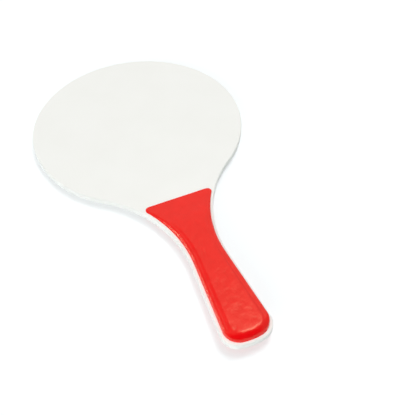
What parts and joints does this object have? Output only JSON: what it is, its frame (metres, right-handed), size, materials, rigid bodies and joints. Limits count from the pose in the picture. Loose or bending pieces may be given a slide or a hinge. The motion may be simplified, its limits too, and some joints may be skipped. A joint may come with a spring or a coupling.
{
  "type": "beach game paddle",
  "caption": "Flat beach game paddle with a broad oval white blade, a concave neck and raised red grips set into both faces of its tapered handle.",
  "frame": {"origin": "middle of the bounding box, in the board's middle plane on the paddle's centre line", "axes": "+Y along the paddle from the butt of the handle to the tip of the blade, +Z out of the front face, +X across the blade"},
  "size_m": [0.1934, 0.3392, 0.0182],
  "materials": {
    "board_plastic": "satin white, faintly mottled moulded surface",
    "front_grip_plastic": "satin red, faint sink marks over the pegs",
    "back_grip_plastic": "satin red, as the front grip"
  },
  "bodies": {
    "root": {"paddle_board": "board_plastic", "front_grip": "front_grip_plastic", "back_grip": "back_grip_plastic"}
  },
  "joints": []
}
